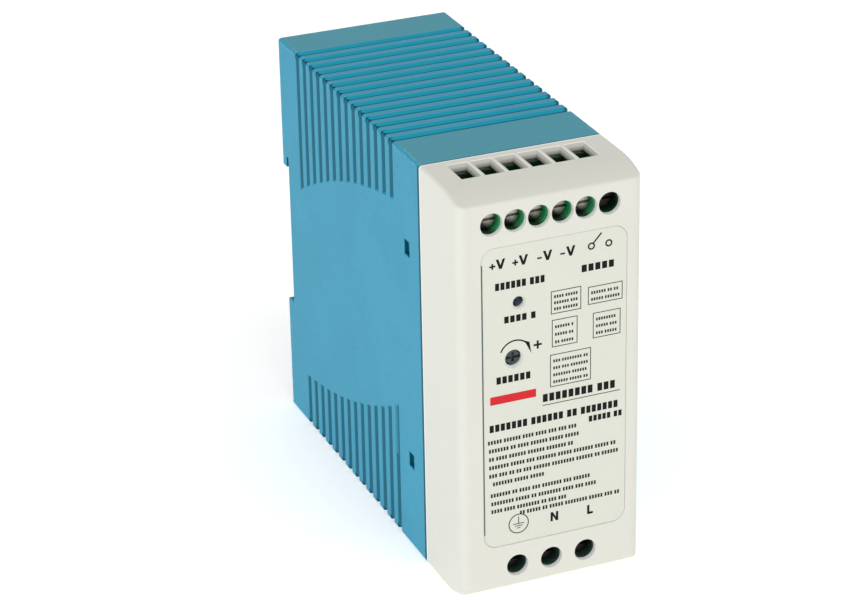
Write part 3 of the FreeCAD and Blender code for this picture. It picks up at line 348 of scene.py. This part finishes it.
def cover_white():
    """Warm white moulding with a fine grain and rubbed edges, painted shade down the wire entries and
    painted highlights on their rims, the hole walls and the rear edge.
    """
    paint = Paint("cover_white", COVER_WHITE, 0.5, specular=0.35)
    clouds = paint.noise(11 * MM, 3.0)
    fine = paint.noise(0.24 * MM, 2.0)
    tone = paint.calc("ADD", paint.calc("MULTIPLY", clouds, 0.6), paint.calc("MULTIPLY", fine, 0.4))
    shade = paint.blend(tone, scaled(COVER_WHITE, 0.965), scaled(COVER_WHITE, 1.03))
    low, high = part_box("front_cover")
    lighter_edges = paint.all_of(edge_mask(paint, low, high, 1.0 * MM), paint.rise(clouds, 0.4, 0.7), 0.5)
    shade = paint.blend(lighter_edges, shade, COVER_WORN)

    x, y, z = paint.split(paint.place())
    across = paint.calc("ABSOLUTE", x)
    down = paint.calc("SUBTRACT", HALF.z, paint.calc("ABSOLUTE", paint.calc("SUBTRACT", z, CENTRE.z)))
    in_entry = wire_entry(paint, across, y, down)
    # Painted highlights: a thin line round the top of each wire entry, the walls of the holes through the
    # front and the cover's rear edge
    entry_highlight = paint.all_of(in_entry, paint.rise(down, ENTRY_HIGHLIGHT_DEPTH + 0.01 * MM, ENTRY_HIGHLIGHT_DEPTH - 0.01 * MM))
    rear_edge_highlight = paint.rise(y, SEAM - 0.75 * MM, SEAM - 0.65 * MM)
    rim = paint.calc("MAXIMUM", entry_highlight, hole_wall(paint, across, y, down))
    rim = paint.calc("MAXIMUM", rim, rear_edge_highlight)
    # Painted shade, darker further down inside the wire entries
    entry_shade = paint.all_of(in_entry, paint.rise(down, 0.7 * MM, 1.9 * MM))
    shade = paint.blend(entry_shade, shade, ENTRY_SHADE)
    paint.set("Base Color", paint.blend(rim, shade, COVER_HIGHLIGHT))
    paint.set("Roughness", paint.node("MapRange", "Result", Value=tone, To_Min=0.42, To_Max=0.6))
    paint.set("Normal", paint.bump(fine, 0.010 * MM))
    return paint


def label_print():
    """Printed film: smooth, a little glossier than the plastic, with a faint weave of its own."""
    colour = (0.71, 0.73, 0.635)
    paint = Paint("label_print", colour, 0.38, specular=0.4)
    clouds = paint.noise(6 * MM, 2.0)
    fine = paint.noise(0.12 * MM, 1.0)
    paint.set("Base Color", paint.blend(clouds, scaled(colour, 0.98), scaled(colour, 1.02)))
    paint.set("Roughness", paint.node("MapRange", "Result", Value=clouds, To_Min=0.32, To_Max=0.46))
    paint.set("Normal", paint.bump(fine, 0.003 * MM))
    return paint


def ink(name, colour):
    """Printing ink, thin and slightly uneven."""
    paint = Paint(name, colour, 0.55, specular=0.15)
    spots = paint.noise(0.15 * MM, 2.0)
    paint.set("Base Color", paint.blend(spots, scaled(colour, 0.8), scaled(colour, 1.4)))
    paint.set("Roughness", paint.node("MapRange", "Result", Value=spots, To_Min=0.38, To_Max=0.55))
    return paint


# ---------- terminals and latch ----------

def latch_black():
    return moulded("latch_black", (0.02, 0.02, 0.022), 0.45, grain=0.2 * MM, relief=0.02 * MM)


def spring_steel():
    return metal("spring_steel", (0.42, 0.43, 0.45), 0.3)


POLE_PITCH = 5.08 * MM
POLE_LINE = 38.45 * MM
WIRE_WAY = 2.4 * MM
SIXTH_POLE = 2 * POLE_PITCH


def shade_poles(paint):
    """Paint shade on each output pole's lower left and its wire way, and paint the whole of the sixth pole
    dark.

    The input screws are far below the output poles, so they come out dark all over.
    """
    x, _, z = paint.split(paint.node("NewGeometry", "Position"))
    share = paint.calc("FRACT", paint.calc("DIVIDE", x, POLE_PITCH))
    across = paint.calc("MULTIPLY", paint.calc("SUBTRACT", share, 0.5), POLE_PITCH)
    level = paint.calc("SUBTRACT", z, CENTRE.z + POLE_LINE)
    lower_left = paint.rise(paint.calc("ADD", across, level), 0.2 * MM, -1.6 * MM)
    way = paint.rise(level, WIRE_WAY, WIRE_WAY + 0.6 * MM)
    sixth = paint.rise(x, SIXTH_POLE - 0.06 * MM, SIXTH_POLE + 0.04 * MM)
    dark = paint.calc("MAXIMUM", paint.calc("MAXIMUM", lower_left, way), sixth)
    lit = paint.shader.inputs["Base Color"].links[0].from_socket
    paint.set("Base Color", paint.blend(paint.calc("MULTIPLY", dark, 0.93), lit, (0.0, 0.0, 0.0)))


def block_green():
    """Green moulding, bright where the light reaches into the screw recesses, with painted shade where it
    does not.
    """
    paint = moulded("block_green", (0.016, 0.36, 0.115), 0.42)
    shade_poles(paint)
    return paint


def block_dark():
    return moulded("block_dark", (0.018, 0.05, 0.04), 0.4)


def screw_plated():
    """Zinc-plated slotted head, with the same painted shade as its pole."""
    paint = metal("screw_plated", (0.52, 0.47, 0.43), 0.34, lines=0.10 * MM)
    shade_poles(paint)
    return paint


def clamp_plated():
    return metal("clamp_plated", (0.58, 0.58, 0.56), 0.32, stretch=(1.0, 6.0, 1.0))


def bar_brass():
    return metal("bar_brass", (0.62, 0.58, 0.50), 0.28, stretch=(1.0, 1.0, 0.2))


# ---------- boards and components ----------

def board_laminate():
    """Green solder mask over tracks, with the weave of the glass showing through."""
    colour = (0.012, 0.11, 0.045)
    paint = Paint("board_laminate", colour, 0.32, specular=0.5)
    place = paint.place()
    weave = paint.cells(0.5 * MM, place)
    tracks = paint.rise(paint.noise(5 * MM, 0.0, place), 0.5, 0.52)
    base = paint.blend(weave, scaled(colour, 0.8), scaled(colour, 1.3))
    paint.set("Base Color", paint.blend(paint.calc("MULTIPLY", tracks, 0.55), base, (0.03, 0.22, 0.07)))
    paint.set("Normal", paint.bump(tracks, 0.03 * MM))
    return paint


def header_plastic():
    return moulded("header_plastic", (0.012, 0.012, 0.014), 0.5)


def pin_tinned():
    return metal("pin_tinned", (0.66, 0.65, 0.62), 0.25)


def insulation_film():
    """Milky film that lets some light through."""
    paint = moulded("insulation_film", (0.72, 0.72, 0.68), 0.35, relief=0.004 * MM)
    paint.set("Transmission Weight", 0.3)
    return paint


def led_lens():
    """Clear green lens, dark while the light is off."""
    paint = moulded("led_lens", (0.002, 0.016, 0.03), 0.2, relief=0.001 * MM, specular=0.25)
    paint.set("Coat Weight", 0.15)
    paint.set("Coat Roughness", 0.05)
    return paint


def trimmer_blue():
    return moulded("trimmer_blue", (0.01, 0.05, 0.16), 0.4)


def rotor_white():
    """Rotor's face, with painted shade: dark grey for the shade down its hole."""
    return moulded("rotor_white", (0.045, 0.058, 0.062), 0.4)


def ferrite():
    """Sintered ferrite: dark grey with fine pits."""
    colour = (0.045, 0.043, 0.042)
    paint = Paint("ferrite", colour, 0.55, specular=0.4)
    pits = paint.cells(0.35 * MM)
    paint.set("Base Color", paint.blend(pits, scaled(colour, 0.6), scaled(colour, 1.5)))
    paint.set("Roughness", paint.node("MapRange", "Result", Value=pits, To_Min=0.45, To_Max=0.7))
    paint.set("Normal", paint.bump(pits, 0.03 * MM))
    return paint


def bobbin_plastic():
    return moulded("bobbin_plastic", (0.02, 0.02, 0.02), 0.4)


def winding_tape():
    """Polyester tape wound in overlapping turns."""
    colour = (0.78, 0.55, 0.08)
    paint = Paint("winding_tape", colour, 0.3, specular=0.5)
    tape_width = 6 * MM
    along = paint.split(paint.place())[0]
    turns = paint.calc("FRACT", paint.calc("MULTIPLY", along, 1 / tape_width))
    wrinkles = paint.noise(1.2 * MM, 4.0)
    paint.set("Base Color", paint.blend(wrinkles, scaled(colour, 0.75), scaled(colour, 1.15)))
    paint.set("Roughness", paint.node("MapRange", "Result", Value=wrinkles, To_Min=0.2, To_Max=0.4))
    relief = paint.bump(paint.rise(turns, 0.0, 0.05), 0.05 * MM)
    paint.set("Normal", paint.bump(wrinkles, 0.06 * MM, 0.5, relief))
    return paint


def copper_wire():
    """Enamelled copper."""
    paint = metal("copper_wire", (0.62, 0.22, 0.08), 0.25)
    paint.set("Coat Weight", 0.5)
    paint.set("Coat Roughness", 0.15)
    return paint


def can_sleeve():
    """Shrunk dark sleeve with a pale stripe down the negative side."""
    colour = (0.02, 0.022, 0.03)
    paint = Paint("can_sleeve", colour, 0.35, specular=0.5)
    wrinkles = paint.noise(1.6 * MM, 3.0)
    facing = paint.split(paint.node("NewGeometry", "Normal"))
    stripe = paint.rise(facing[1], 0.86, 0.88)
    end = paint.rise(paint.calc("ABSOLUTE", facing[0]), 0.9, 0.95)
    sleeve = paint.blend(paint.calc("MULTIPLY", stripe, 0.8), colour, (0.55, 0.56, 0.58))
    sleeve = paint.blend(paint.calc("MULTIPLY", wrinkles, 0.3), sleeve, scaled(colour, 2.0))
    paint.set("Base Color", paint.blend(end, sleeve, (0.62, 0.62, 0.62)))
    paint.set("Metallic", end)
    paint.set("Normal", paint.bump(wrinkles, 0.04 * MM))
    return paint


def x_case_yellow():
    return moulded("x_case_yellow", (0.70, 0.52, 0.07), 0.4)


def disc_blue():
    return moulded("disc_blue", (0.03, 0.13, 0.38), 0.3, grain=1.2 * MM, relief=0.04 * MM)


def disc_green():
    return moulded("disc_green", (0.05, 0.16, 0.08), 0.35, grain=1.2 * MM, relief=0.04 * MM)


def fuse_metal():
    return metal("fuse_metal", (0.66, 0.65, 0.62), 0.22)


def fuse_tube():
    """Fuse glass."""
    paint = moulded("fuse_tube", (0.85, 0.88, 0.87), 0.06, relief=0.001 * MM, specular=0.5)
    paint.set("Transmission Weight", 0.85)
    paint.set("IOR", 1.5)
    return paint


def heatsink_metal():
    return metal("heatsink_metal", (0.62, 0.63, 0.64), 0.38, stretch=(1.0, 0.05, 1.0))


def package_black():
    """Epoxy package, matt with fine pits."""
    return moulded("package_black", (0.015, 0.015, 0.016), 0.6, grain=0.15 * MM, relief=0.02 * MM)


def sink_screw_steel():
    return metal("sink_screw_steel", (0.50, 0.50, 0.50), 0.3)


def relay_case():
    return moulded("relay_case", (0.03, 0.03, 0.035), 0.35)


# Each finish is named after its material slot
FINISHES = [
    housing_blue, cover_white, label_print, latch_black, spring_steel, block_green, block_dark,
    screw_plated, clamp_plated, bar_brass, board_laminate, header_plastic, pin_tinned, insulation_film,
    led_lens, trimmer_blue, rotor_white, ferrite, bobbin_plastic, winding_tape, copper_wire, can_sleeve,
    x_case_yellow, disc_blue, disc_green, fuse_metal, fuse_tube, heatsink_metal, package_black,
    sink_screw_steel, relay_case,
]


def paint_nodes():
    """Give every CAD node the finish of its material slot."""
    finishes = {finish.__name__: finish().material for finish in FINISHES}
    for part in frame["record"]["subparts"]:
        mesh = frame["nodes"][part["node"]].data
        mesh.materials.clear()
        mesh.materials.append(finishes[part["material_slot"]])


# ---------- label print ----------

LABEL_LOW, LABEL_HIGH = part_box("rating_label")
LABEL_FACE = LABEL_LOW.y
INK = 0.02 * MM
CAP_HEIGHT = 2.1


def printed(name, shapes, material):
    """Thin ink shapes on the label: each shape is a closed outline of (x, z) in millimetres."""
    mesh = bmesh.new()
    for shape in shapes:
        rim = [mesh.verts.new((x * MM, LABEL_FACE, z * MM)) for x, z in shape]
        face = mesh.faces.new(rim)
        raised = bmesh.ops.extrude_face_region(mesh, geom=[face])
        moved = [item for item in raised["geom"] if isinstance(item, bmesh.types.BMVert)]
        bmesh.ops.translate(mesh, verts=moved, vec=(0, -INK, 0))
        bmesh.ops.delete(mesh, geom=[face], context="FACES_ONLY")
    bmesh.ops.recalc_face_normals(mesh, faces=mesh.faces)
    data = bpy.data.meshes.new(name)
    mesh.to_mesh(data)
    mesh.free()
    data.materials.append(material)
    piece = bpy.data.objects.new(name, data)
    bpy.context.scene.collection.objects.link(piece)
    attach(piece, "housing")


def moved_to(shape, x, z):
    return [(x + u, z + v) for u, v in shape]


def bar(left, right, low, high):
    return [(left, low), (right, low), (right, high), (left, high)]


def letter_v(wide=2.0, high=CAP_HEIGHT, stem=0.55):
    """Outline of a plain V, centred on its width."""
    notch = high * stem / (wide - stem)
    return [(-wide / 2, high), (-wide / 2 + stem, high), (0, notch), (wide / 2 - stem, high),
            (wide / 2, high), (stem / 2, 0), (-stem / 2, 0)]


def letter_n(wide=1.7, high=CAP_HEIGHT, stem=0.5):
    """Outline of a plain N."""
    drop = high * stem / (wide - stem)
    outline = [(0, 0), (0, high), (stem, high), (wide - stem, drop), (wide - stem, high),
               (wide, high), (wide, 0), (wide - stem, 0), (stem, high - drop), (stem, 0)]
    return moved_to(outline, -wide / 2, 0)


def letter_l(wide=1.3, high=CAP_HEIGHT, stem=0.5):
    """Outline of a plain L."""
    outline = [(0, 0), (0, high), (stem, high), (stem, stem), (wide, stem), (wide, 0)]
    return moved_to(outline, -wide / 2, 0)


def plus_sign(size=1.25, stem=0.36):
    arm, half = size / 2, stem / 2
    return [(-arm, -half), (-half, -half), (-half, -arm), (half, -arm), (half, -half), (arm, -half),
            (arm, half), (half, half), (half, arm), (-half, arm), (-half, half), (-arm, half)]


def arc_points(radius, start, finish, steps):
    """Points on an arc about the origin, angles in degrees."""
    angles = [math.radians(start + (finish - start) * step / steps) for step in range(steps + 1)]
    return [(radius * math.cos(angle), radius * math.sin(angle)) for angle in angles]


def band(radius, stem, start=0.0, finish=360.0, pieces=2):
    """Arc-shaped strokes that join end to end round the origin."""
    shapes = []
    for index in range(pieces):
        first = start + (finish - start) * index / pieces
        last = start + (finish - start) * (index + 1) / pieces
        outer = arc_points(radius + stem / 2, first, last, 24)
        inner = arc_points(radius - stem / 2, last, first, 24)
        shapes.append(outer + inner)
    return shapes


def stroke(start, finish, stem):
    """Straight stroke between two points."""
    along = (Vector(finish) - Vector(start)).normalized()
    side = Vector((-along.y, along.x)) * stem / 2
    corners = (Vector(start) - side, Vector(finish) - side, Vector(finish) + side, Vector(start) + side)
    return [tuple(corner) for corner in corners]


def terminal_marks():
    """Polarity over each output pole and the conductor letters over the input poles."""
    shapes = []
    output_level = 73.7
    for x, positive in ((-11.6, True), (-6.7, True), (-1.5, False), (3.5, False)):
        shapes.append(moved_to(letter_v(), x + 0.8, output_level))
        sign = plus_sign() if positive else bar(-0.5, 0.5, -0.17, 0.17)
        shapes.append(moved_to(sign, x - 0.95, output_level + 0.75))
    shapes.append(moved_to(letter_n(), 0.7, 14.9))
    shapes.append(moved_to(letter_l(), 8.75, 14.7))
    return shapes


def contact_symbol():
    """Open contact: two small rings and a lever."""
    line = 0.32
    shapes = []
    for x in (8.8, 12.6):
        shapes += [moved_to(shape, x, 74.9) for shape in band(0.62, line)]
    shapes.append(stroke((9.2, 75.45), (11.0, 77.4), line))
    return shapes


def earth_symbol(x=-7.3, z=16.1):
    """Protective earth: ring, stem and three bars."""
    half_line = 0.08
    bar_gap = 0.5
    shapes = [moved_to(shape, x, z) for shape in band(2.15, 0.2)]
    shapes.append(bar(x - half_line, x + half_line, z + 0.1, z + 1.6))
    for index, reach in enumerate((1.25, 0.85, 0.4)):
        level = z - bar_gap * index
        shapes.append(bar(x - reach, x + reach, level - half_line, level + half_line))
    return shapes


def turn_arrow(x=-7.75, z=54.2):
    """Curved arrow over the trimmer and a plus at its head."""
    shapes = [moved_to(shape, x, z) for shape in band(3.4, 0.3, 158, 42, pieces=1)]
    tip = [(1.95, 2.95), (3.05, 2.45), (3.45, -0.1)]
    shapes.append(moved_to(tip, x, z))
    shapes.append(moved_to(plus_sign(1.8, 0.42), -2.9, 55.7))
    return shapes


def words(rng, left, right, level, high, letter, gap):
    """A line of letter-sized plain blocks, in groups the lengths of words, standing in for print."""
    shapes = []
    x = left
    while x < right - letter:
        for _ in range(rng.randint(2, 8)):
            if x + letter > right:
                break
            shapes.append(bar(x, x + letter, level, level + high))
            x += letter + gap
        x += letter * 0.7
    return shapes


def ratings():
    """Blocks in place of the larger lines of print, one of them underlined."""
    rng = random.Random(5)
    shapes = []
    # left, right, level, height and letter width of each line
    lines = [(-12.0, -0.4, 69.1, 1.55, 0.85), (6.7, 14.5, 69.6, 1.55, 1.1), (-10.1, -2.7, 61.7, 1.45, 0.95),
             (-11.9, -3.6, 48.6, 1.55, 0.95), (-1.8, 15.3, 42.6, 1.75, 1.05), (-13.5, 15.8, 38.1, 1.6, 0.9),
             (8.4, 15.8, 36.0, 1.3, 0.75)]
    for left, right, level, high, letter in lines:
        shapes += words(rng, left, right, level, high, letter, letter * 0.35)
    shapes.append(bar(-1.9, 15.3, 41.8, 41.95))
    return shapes


def fine_print():
    """Rows of small blocks in place of the small print."""
    rng = random.Random(9)
    # level, left and right of each row
    rows = [(35.4, -13.9, 5.8), (33.5, -13.7, 6.5), (31.6, -13.7, 5.0), (29.7, -13.7, 15.0),
            (27.8, -13.7, 15.2), (25.9, -12.9, -1.5), (23.3, -13.4, 9.0), (21.4, -13.3, 10.5),
            (19.6, -13.3, 3.5), (18.1, -7.0, 15.5)]
    shapes = []
    for level, left, right in rows:
        shapes += words(rng, left, right, level, 0.85, 0.42, 0.22)
    return shapes


def data_frames():
    """Plain ruled boxes with short rows, in place of approval marks."""
    rng = random.Random(3)
    shapes = []
    line = 0.16
    row_pitch = 1.3
    # left, right, low and high of each box
    boxes = [(0.0, 6.6, 61.7, 66.7), (8.1, 15.7, 62.2, 66.1), (0.2, 5.8, 54.4, 60.4),
             (9.2, 15.3, 54.6, 60.2), (-0.2, 8.8, 45.6, 52.8)]
    for left, right, low, high in boxes:
        shapes += [bar(left, right, low, low + line), bar(left, right, high - line, high),
                   bar(left, left + line, low, high), bar(right - line, right, low, high)]
        room = high - low - 1.0
        rows = int(room / row_pitch)
        for row in range(rows):
            level = low + 0.75 + row * room / rows
            shapes += words(rng, left + 0.7, right - 0.6, level, 0.62, 0.36, 0.2)
    return shapes


def print_label():
    """All the print on the label, and a painted shadow along its left edge."""
    black = ink("label_ink", (0.004, 0.004, 0.005)).material
    grey = ink("label_ink_fine", (0.02, 0.02, 0.02)).material
    red = ink("label_ink_red", (0.62, 0.02, 0.03)).material
    shade = ink("label_shade", (0.07, 0.11, 0.11)).material
    printed("terminal_marks", terminal_marks(), black)
    printed("contact_symbol", contact_symbol(), black)
    printed("earth_symbol", earth_symbol(), black)
    printed("turn_arrow", turn_arrow(), black)
    printed("rating_blocks", ratings(), black)
    printed("small_print_blocks", fine_print(), grey)
    printed("ruled_boxes", data_frames(), grey)
    # Painted shadow: a dark strip along the label's left edge, where the recess wall shades it
    left = LABEL_LOW.x / MM
    corner = 3.2
    edge = bar(left, left + 0.24, LABEL_LOW.z / MM + corner, LABEL_HIGH.z / MM - corner)
    printed("label_edge_shade", [edge], shade)
    printed("accent_bar", [bar(-13.3, -3.3, 44.2, 46.0)], red)


# ---------- latch spring ----------

def latch_spring():
    """Coil in place of the CAD spring, fixed on the housing at its rest length; the real spring shortens
    towards its stop as the latch is pulled.
    """
    low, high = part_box("latch_spring")
    middle = (low + high) / 2
    wire = 0.22 * MM
    radius = (high.x - low.x) / 2 - wire
    turns = 7
    steps_a_turn = 24
    steps = steps_a_turn * turns

    curve = bpy.data.curves.new("coil", "CURVE")
    curve.dimensions = "3D"
    curve.bevel_depth = wire
    curve.bevel_resolution = 3
    curve.use_fill_caps = True
    line = curve.splines.new("POLY")
    line.points.add(steps)
    for step, point in enumerate(line.points):
        share = step / steps
        angle = math.tau * turns * share
        height = low.z + wire + share * (high.z - low.z - 2 * wire)
        point.co = (middle.x + radius * math.cos(angle), middle.y + radius * math.sin(angle), height, 1.0)

    mesh = bpy.data.meshes.new_from_object(bpy.data.objects.new("coil", curve))
    mesh.materials.clear()
    mesh.materials.append(frame["nodes"]["latch_spring"].data.materials[0])
    for face in mesh.polygons:
        face.use_smooth = True
    piece = bpy.data.objects.new("latch_spring_coil", mesh)
    bpy.context.scene.collection.objects.link(piece)
    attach(piece, "housing")
    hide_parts("latch_spring")
    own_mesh(piece)


# ---------- stage ----------

def floor():
    """Pale floor under the object, which gives off a little light so that it shows white."""
    reach = 4.0
    corners = [(-reach, -reach, 0), (reach, -reach, 0), (reach, reach, 0), (-reach, reach, 0)]
    data = bpy.data.meshes.new("floor")
    data.from_pydata(corners, [], [(0, 1, 2, 3)])
    piece = bpy.data.objects.new("floor", data)
    bpy.context.scene.collection.objects.link(piece)
    piece.location.z = cad_low.z
    paint = Paint("floor_paper", (0.97, 0.97, 0.97), 0.8, specular=0.0)
    paint.set("Base Color", paint.blend(paint.noise(0.4, 2.0), (0.96, 0.96, 0.96), (0.98, 0.98, 0.98)))
    paint.set("Emission Color", (1.0, 1.0, 1.0, 1.0))
    paint.set("Emission Strength", 0.38)
    data.materials.append(paint.material)


def looking_back(azimuth, elevation):
    """Direction from the object towards a viewer: azimuth 0 is in front, 90 on the right."""
    turn = math.radians(azimuth)
    lift = math.radians(elevation)
    return Vector((math.sin(turn) * math.cos(lift), -math.cos(turn) * math.cos(lift), math.sin(lift)))


def lamp(name, azimuth, elevation, energy, colour, distance=1.2, size=0.9):
    """Square soft light aimed at the middle of the object."""
    data = bpy.data.lights.new(name, "AREA")
    data.shape = "SQUARE"
    data.size = size
    data.energy = energy
    data.color = colour
    piece = bpy.data.objects.new(name, data)
    bpy.context.scene.collection.objects.link(piece)
    back = looking_back(azimuth, elevation)
    piece.location = CENTRE + back * distance
    piece.rotation_mode = "QUATERNION"
    piece.rotation_quaternion = (-back).to_track_quat("-Z", "Y")


def lights():
    world = bpy.data.worlds.new("studio")
    world.use_nodes = True
    sky = world.node_tree.nodes["Background"]
    sky.inputs["Color"].default_value = (1.0, 1.0, 1.0, 1.0)
    sky.inputs["Strength"].default_value = 0.50
    bpy.context.scene.world = world
    lamp("key", azimuth=5, elevation=48, energy=4.7, colour=(1.0, 0.99, 0.97))
    lamp("side", azimuth=-80, elevation=20, energy=3.7, colour=(0.95, 0.98, 1.0))
    lamp("back", azimuth=170, elevation=8, energy=2.2, colour=(0.97, 0.99, 1.0))


def camera():
    """Long lens from the upper left front, rolled a little."""
    distance = 0.650
    roll_angle = -1.18
    data = bpy.data.cameras.new("camera")
    data.lens = 127.75
    data.sensor_width = 36.0
    data.clip_start = 0.05
    data.clip_end = 20.0
    piece = bpy.data.objects.new("camera", data)
    bpy.context.scene.collection.objects.link(piece)
    back = looking_back(-22.02, 25.02)
    aim = CENTRE + Vector((-5.6, 1.4, -1.3)) * MM
    roll = Quaternion((0, 0, 1), math.radians(roll_angle))
    piece.rotation_mode = "QUATERNION"
    piece.rotation_quaternion = (-back).to_track_quat("-Z", "Y") @ roll
    piece.location = aim + back * distance
    bpy.context.scene.camera = piece


paint_nodes()
print_label()
latch_spring()
floor()
lights()
camera()
bpy.context.scene.view_settings.view_transform = "Standard"
